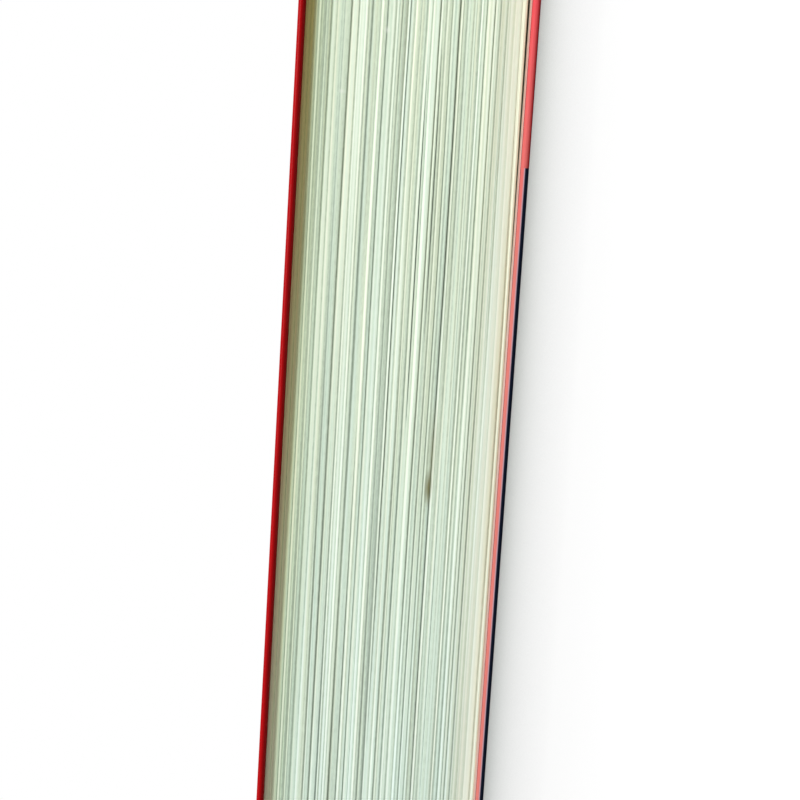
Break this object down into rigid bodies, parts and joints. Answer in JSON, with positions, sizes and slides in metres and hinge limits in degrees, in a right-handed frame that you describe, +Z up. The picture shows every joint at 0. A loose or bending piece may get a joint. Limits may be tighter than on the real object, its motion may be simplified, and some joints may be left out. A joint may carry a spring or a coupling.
{
  "type": "paperback book",
  "caption": "Thick paperback book lying closed, with a red card cover folded back into flaps at the fore-edge and covers that open.",
  "frame": {"origin": "centre of the bounding box's bottom, under the closed book on the surface it lies on", "axes": "+X along the book's height towards the head, +Y towards the spine, -Y the fore-edge where the book opens, +Z up through the pages to the front cover"},
  "size_m": [0.21, 0.148, 0.0379],
  "materials": {
    "cover_card": "gloss laminated",
    "page_paper": "matte, trimmed edges",
    "binding_glue": "hot-melt glue, translucent ivory"
  },
  "bodies": {
    "text_block": {"page_block": "page_paper", "spine_glue": "binding_glue", "spine_cover": "cover_card"},
    "front_cover": {"front_cover": "cover_card"},
    "back_cover": {"back_cover": "cover_card"}
  },
  "joints": [
    {"name": "front_cover_hinge", "type": "hinge", "parent": "text_block", "child": "front_cover", "pos_m": [0, 0.074, 0.03753], "axis": [-1, 0, 0], "range_deg": [0, 180]},
    {"name": "back_cover_hinge", "type": "hinge", "parent": "text_block", "child": "back_cover", "pos_m": [0, 0.074, 0.00035], "axis": [1, 0, 0], "range_deg": [0, 180]}
  ]
}
